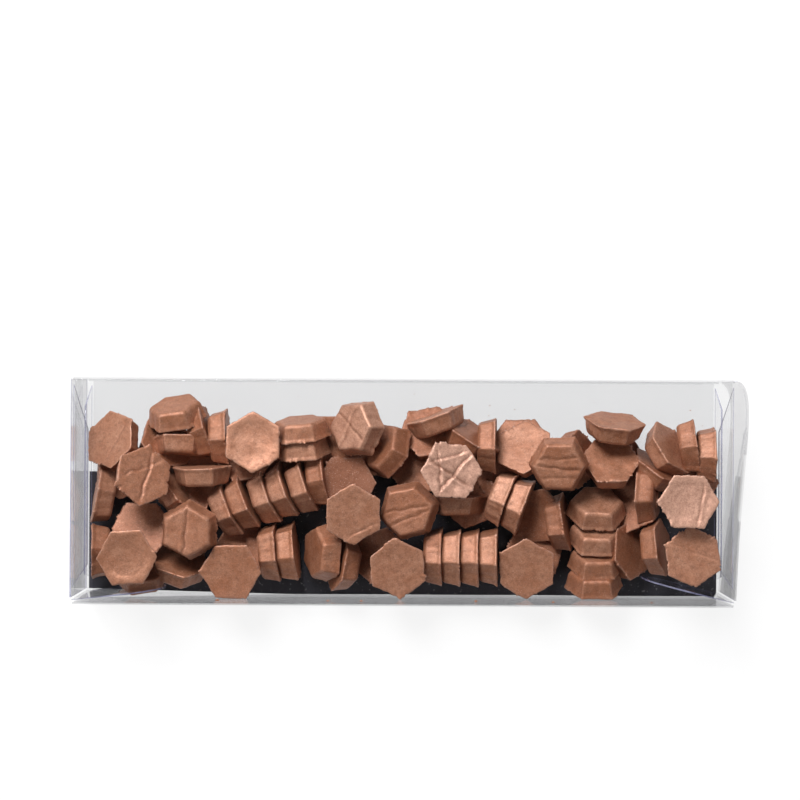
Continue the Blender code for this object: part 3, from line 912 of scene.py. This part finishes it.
@dataclass
class Sleeve:
    """The carton's four panels, folded from one sheet of film."""

    fold_radius: float = 0.7 * MM
    sheet: float = 0.3 * MM
    lengthwise_cuts: int = 24
    ripple: float = 0.05 * MM
    ripple_scale: float = 45.0
    base_end: float = 61.55 * MM
    face_end: float = 62.05 * MM

    def build(self, film: bpy.types.Material, edge: bpy.types.Material) -> None:
        """Model the sleeve as one folded sheet.

        Args:
            film: Material of the sheet.
            edge: Material of its cut ends and folds.
        """
        low_face, high_face = (Vector(corner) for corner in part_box("face_panel"))
        low_base, _ = (Vector(corner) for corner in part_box("base_panel"))
        _, high_head = (Vector(corner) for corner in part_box("head_panel"))
        half_length = high_head.x
        middle = Vector((0, 0, (low_base.z + high_face.z) / 2))
        size = Vector((2 * half_length, high_face.y - low_face.y, high_face.z - low_base.z))
        sleeve = add_box(middle, size)
        with editing(sleeve, lambda face: abs(face.normal.x) > FACING):
            bpy.ops.mesh.delete(type="FACE")
        self.round_folds(sleeve, half_length)
        with editing(sleeve, every_face):
            bpy.ops.mesh.subdivide(number_cuts=self.lengthwise_cuts)
        self.ripple_sheet(sleeve)
        self.cut_back(sleeve, half_length)
        apply_modifier(sleeve, "SOLIDIFY", thickness=self.sheet, offset=-1.0)
        mesh = sleeve.data.copy()
        bpy.data.objects.remove(sleeve, do_unlink=True)
        for face in mesh.polygons:
            face.material_index = int(abs(face.normal.x) > 0.7)
        piece = make_piece("film_sleeve", mesh, [film, edge])
        make_active(piece)
        bpy.ops.object.shade_smooth_by_angle(angle=SMOOTH_ANGLE)
        carry(piece, CARTON_BODY, FILM_SLOT, "face_panel", "base_panel", "head_panel", "foot_panel")

    def round_folds(self, sleeve: bpy.types.Object, half_length: float) -> None:
        """Round the four long folds.

        Args:
            sleeve: The open box of four panels.
            half_length: Half its length, which tells a fold from a cut end.
        """
        make_active(sleeve)
        bpy.context.tool_settings.mesh_select_mode = (False, True, False)
        mesh = sleeve.data
        for edge in mesh.edges:
            first, second = (mesh.vertices[index].co for index in edge.vertices)
            edge.select = abs(first.x - second.x) > half_length
        bpy.ops.object.mode_set(mode="EDIT")
        bpy.ops.mesh.bevel(offset=self.fold_radius, segments=4, profile=0.5)
        bpy.ops.object.mode_set(mode="OBJECT")

    def cut_back(self, sleeve: bpy.types.Object, half_length: float) -> None:
        """End the base and face panels short of the creases of their dust flaps.

        Args:
            sleeve: The folded sheet, before it is thickened.
            half_length: Half its length, where its cut ends are.
        """
        points, normals = points_of(sleeve.data), normals_of(sleeve.data)
        at_end = np.abs(points[:, 0]) > half_length - 0.1 * MM
        for up, end in ((-1, self.base_end), (1, self.face_end)):
            panel = at_end & (normals[:, 2] * up > FACING)
            points[panel, 0] = np.sign(points[panel, 0]) * end
        set_points(sleeve.data, points)

    def ripple_sheet(self, sleeve: bpy.types.Object) -> None:
        """Let the sheet swell and ripple very slightly."""
        points, normals = points_of(sleeve.data), normals_of(sleeve.data)
        swell = noise_at(points, self.ripple_scale, 3.0) * self.ripple
        set_points(sleeve.data, points + normals * swell[:, None])


class FlapKind(Enum):
    """What a flap does, which sets its film."""

    CLOSURE = "closure"
    DUST = "dust"
    GLUED = "glued"


@dataclass
class Flap:
    """One piece of film that replaces a flat solid and reaches up to the crease it turns on."""

    node: str
    crease: tuple[float, float, float]
    kind: FlapKind
    cuts: int = 6
    warp: float = 0.03 * MM
    warp_scale: float = 55.0
    reach: float = 0.75 * MM
    close: float = 0.17 * MM
    cut_width: float = 0.45 * MM

    def build(self, source: bpy.types.Object, body: str, film: bpy.types.Material,
              edge: bpy.types.Material) -> None:
        """Refine a copy of the solid sheet.

        Args:
            source: The solid.
            body: Body that the flap rides on.
            film: Material of the sheet.
            edge: Material of its cut edges.
        """
        mesh = source.data.copy()
        piece = make_piece("film_" + self.node, mesh, [film, edge])
        with editing(piece, every_face):
            bpy.ops.mesh.remove_doubles(threshold=MERGE_DISTANCE)
            bpy.ops.mesh.dissolve_limited(angle_limit=math.radians(1))
        self.meet_crease(mesh)
        thin = self.thin_faces(mesh)
        for face in mesh.polygons:
            face.material_index = int(face.index in thin)
        with editing(piece, every_face):
            bpy.ops.mesh.quads_convert_to_tris()
            bpy.ops.mesh.tris_convert_to_quads()
            bpy.ops.mesh.subdivide(number_cuts=self.cuts)
        points = points_of(mesh)
        wave = noise_at(points, self.warp_scale, len(self.node)) * self.warp
        thin_axis = int(np.argmin(points.max(axis=0) - points.min(axis=0)))
        points[:, thin_axis] += wave
        set_points(mesh, points)
        make_active(piece)
        bpy.ops.object.shade_smooth_by_angle(angle=SMOOTH_ANGLE)
        carry(piece, body, FILM_SLOT, self.node)

    def meet_crease(self, mesh: bpy.types.Mesh) -> None:
        """Draw the root edge of the flap up to its crease."""
        points = points_of(mesh)
        line = np.array(self.crease)
        known = ~np.isnan(line)
        away = points[:, known] - line[known]
        distance = np.linalg.norm(away, axis=1)
        near = distance < self.reach
        scaled = points.copy()
        scaled[np.ix_(near, known)] = line[known] + away[near] * (self.close / distance[near])[:, None]
        set_points(mesh, scaled)

    def thin_faces(self, mesh: bpy.types.Mesh) -> set[int]:
        """Return the numbers of the faces that are cut edges, which are far narrower than they are long."""
        narrow = set()
        for face in mesh.polygons:
            corners = [mesh.vertices[index].co for index in face.vertices]
            sides = [(a - b).length for a, b in zip(corners, corners[1:] + corners[:1])]
            slim = min(sides) < self.cut_width and face.area < max(sides) * self.cut_width
            if slim and len(sides) <= 4:
                narrow.add(face.index)
        return narrow


ANY = float("nan")


@dataclass
class Closures:
    """End panels, tuck flaps and dust flaps of both ends, and the glued lap."""

    closure_x: float = 62.85 * MM
    hinge_y: float = 21.35 * MM
    fold_y: float = -20.65 * MM
    face_dust_x: float = 62.35 * MM
    base_dust_x: float = 61.85 * MM
    face_dust_z: float = 22.0 * MM
    base_dust_z: float = 0.3 * MM
    lap_z: float = 0.6 * MM
    closure_film: FilmFinish = FilmFinish(
        "closure_film", (0.93, 0.93, 0.932), gloss=(0.56, 0.55, 0.56), wave=0.03, mirror=0.9
    )
    dust_film: FilmFinish = FilmFinish(
        "dust_film", (0.968, 0.968, 0.970), wave=0.03, mirror=0.1, shading=0.05
    )

    def flaps(self) -> list[Flap]:
        """Return every flap with the crease it turns on."""
        flaps = [Flap("glue_flap", (ANY, ANY, self.lap_z), FlapKind.GLUED, reach=0.0)]
        for side, sign in (("left", -1), ("right", 1)):
            closure, face, base = sign * self.closure_x, sign * self.face_dust_x, sign * self.base_dust_x
            flaps += [
                Flap(side + "_end_panel", (closure, self.hinge_y, ANY), FlapKind.CLOSURE),
                Flap(side + "_tuck_flap", (closure, self.fold_y, ANY), FlapKind.CLOSURE),
                Flap(side + "_face_dust_flap", (face, ANY, self.face_dust_z), FlapKind.DUST),
                Flap(side + "_base_dust_flap", (base, ANY, self.base_dust_z), FlapKind.DUST),
            ]
        return flaps

    def build(self, nodes: dict[str, bpy.types.Object], bodies: dict[str, str],
              edge: bpy.types.Material) -> None:
        """Model all flaps.

        Args:
            nodes: Solids by name.
            bodies: Body of each solid.
            edge: Material of their cut edges.
        """
        closure, dust = self.closure_film.make(), self.dust_film.make()
        for flap in self.flaps():
            film = closure if flap.kind is FlapKind.CLOSURE else dust
            cut = film if flap.kind is FlapKind.GLUED else edge
            flap.build(nodes[flap.node], bodies[flap.node], film, cut)


@dataclass
class Label:
    """Bare label under the base panel, stuck on a little askew and with a slightly wavy foot edge."""

    cuts: int = 40
    half_length: float = 62.3 * MM
    drop: float = 0.2 * MM
    lift: float = 1.6 * MM
    lift_from: float = -0.35
    wave: float = 0.12 * MM
    wave_scale: float = 40.0
    foot_band: float = 6 * MM
    finish: LabelFinish = field(default_factory=LabelFinish)

    def build(self) -> None:
        """Model the label where its solid lies, drawn out a little past the ends of the base panel."""
        low, high = (Vector(corner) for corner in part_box("base_label"))
        label = add_box((low + high) / 2, high - low)
        with editing(label, every_face):
            bpy.ops.transform.resize(value=(self.half_length / high.x, 1, 1), center_override=(0, 0, 0))
            bpy.ops.mesh.subdivide(number_cuts=self.cuts)
        points = points_of(label.data)
        foot = np.clip(1 - (points[:, 1] - low.y) / self.foot_band, 0, 1)
        askew = np.clip(self.lift_from - points[:, 0] / self.half_length, 0, 1) * self.lift - self.drop
        points[:, 1] += foot * (askew + noise_at(points * (1, 0, 0), self.wave_scale, 4.0) * self.wave)
        set_points(label.data, points)
        mesh = label.data.copy()
        bpy.data.objects.remove(label, do_unlink=True)
        piece = make_piece("bare_label", mesh, [self.finish.make()])
        carry(piece, CARTON_BODY, LABEL_SLOT, "base_label")


@dataclass(frozen=True)
class Crumb:
    """One loose crumb or fleck of wax: its place and its width, in mm."""

    x: float
    y: float
    z: float
    width: float


CRUMBS = tuple(Crumb(*row) for row in (
    (-35.4, -20.9, 17.5, 0.75),
    (-14.3, -20.9, 17.8, 0.55),
    (-7.9, -20.95, 17.5, 0.6),
    (14.0, -20.9, 17.2, 0.7),
    (28.7, -20.9, 18.4, 0.6),
    (47.4, -20.9, 18.6, 0.5),
    (-42.6, 17.1, 21.6, 0.3),
    (16.3, 16.5, 21.6, 0.3),
    (16.1, 14.6, 21.6, 0.22),
    (54.2, 15.8, 21.6, 0.3),
    (56.5, 12.9, 21.6, 0.22),
    (21.0, 15.8, 21.6, 0.24),
    (-20.0, 18.0, 21.6, 0.2),
    (2.0, 18.6, 21.6, 0.2),
    (36.0, 17.2, 21.6, 0.2),
))


@dataclass
class Crumbs:
    """Crumbs that cling to the foot panel and flecks that cling under the face panel."""

    crumbs: tuple[Crumb, ...] = CRUMBS
    ragged: float = 0.35
    lump_scale: float = 3.0
    squash: tuple[float, float, float] = (1.0, 0.6, 0.6)
    tone: float = 0.4

    def build(self, wax: bpy.types.Material) -> None:
        """Model every crumb as an uneven lump and join them.

        Args:
            wax: Their material.
        """
        lumps = []
        for number, crumb in enumerate(self.crumbs):
            deselect_all()
            bpy.ops.mesh.primitive_ico_sphere_add(subdivisions=2, radius=crumb.width / 2 * MM)
            lump = bpy.context.object
            points = points_of(lump.data)
            swell = 1 + self.ragged * noise_at(points / (crumb.width * MM), self.lump_scale, number + 0.3)
            place = np.array((crumb.x, crumb.y, crumb.z)) * MM
            set_points(lump.data, points * swell[:, None] * np.array(self.squash) + place)
            set_number(lump.data, "tone", np.full(len(points), self.tone))
            lumps.append(lump)
        piece = join(lumps)
        piece.name = "wax_crumbs"
        piece.data.materials.append(wax)
        carry(piece, CARTON_BODY, WAX_SLOT)


@dataclass(frozen=True)
class Lamp:
    """One square soft lamp that points at the carton: its place, its width and its power in watts."""

    name: str
    place: tuple[float, float, float]
    size: float
    power: float


LAMPS = (
    Lamp("key_lamp", (-0.20, 0.45, 0.50), 0.30, 8.6),
    Lamp("fill_lamp", (0.45, -0.10, 0.45), 0.45, 1.0),
    Lamp("left_lamp", (-0.55, -0.05, 0.40), 0.35, 1.5),
)


@dataclass
class Studio:
    """White sweep, soft lamps and the camera straight above the carton."""

    camera_place: tuple[float, float, float] = (-0.71 * MM, 17.47 * MM, 445.15 * MM)
    roll: float = math.radians(0.3)
    lens: float = 100.8
    sensor: float = 36.0
    floor_size: float = 3.0
    floor_z: float = -0.05 * MM
    room_light: float = 0.14
    nearest: float = 0.01
    film_layers: int = 48
    finish: FloorFinish = field(default_factory=FloorFinish)

    def build(self) -> None:
        """Set up the floor, lamps, world and camera."""
        self.lay_floor()
        self.hang_lamps()
        self.light_world()
        self.place_camera()
        bpy.context.scene.view_settings.view_transform = "Standard"
        bpy.context.scene.cycles.transparent_max_bounces = self.film_layers

    def lay_floor(self) -> None:
        """Lay the white floor."""
        deselect_all()
        bpy.ops.mesh.primitive_plane_add(size=self.floor_size, location=(0, 0, self.floor_z))
        floor = bpy.context.object
        floor.name = "floor"
        floor.data.materials.append(self.finish.make())

    @staticmethod
    def hang_lamps() -> None:
        """Hang the key lamp on the head side and a weaker lamp beyond each end."""
        for lamp in LAMPS:
            light = bpy.data.lights.new(lamp.name, "AREA")
            light.shape = "SQUARE"
            light.size = lamp.size
            light.energy = lamp.power
            holder = bpy.data.objects.new(lamp.name, light)
            bpy.context.scene.collection.objects.link(holder)
            holder.location = lamp.place
            holder.rotation_euler = (-Vector(lamp.place)).to_track_quat("-Z", "Y").to_euler()

    def light_world(self) -> None:
        """Fill the room with an even soft light."""
        world = bpy.data.worlds.new("room")
        world.use_nodes = True
        background = world.node_tree.nodes["Background"]
        background.inputs["Color"].default_value = (1.0, 1.0, 1.0, 1.0)
        background.inputs["Strength"].default_value = self.room_light
        bpy.context.scene.world = world

    def place_camera(self) -> None:
        """Point the camera straight down, with the carton's length across the picture."""
        camera = bpy.data.cameras.new("camera")
        camera.lens = self.lens
        camera.sensor_width = self.sensor
        camera.clip_start = self.nearest
        holder = bpy.data.objects.new("camera", camera)
        bpy.context.scene.collection.objects.link(holder)
        holder.location = self.camera_place
        holder.rotation_euler = (0.0, 0.0, self.roll)
        bpy.context.scene.camera = holder


def body_by_node(record: dict[str, Any]) -> dict[str, str]:
    """Return the body of each solid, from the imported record."""
    bodies = record["behaviour"]["bodies"]
    return {node: body for body, members in bodies.items() for node in members}


def main() -> None:
    """Dress the carton and its beads, and set up the studio."""
    logging.basicConfig(level=logging.INFO, format="%(name)s: %(message)s")
    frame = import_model()
    nodes, bodies = frame["nodes"], body_by_node(frame["record"])
    film, edge, wax = FilmFinish().make(), CutEdgeFinish().make(), WaxFinish().make()
    WaxBeads().build(nodes, bodies, wax)
    Crumbs().build(wax)
    Label().build()
    Sleeve().build(film, edge)
    Closures().build(nodes, bodies, edge)
    Studio().build()


if __name__ == "__main__":
    main()
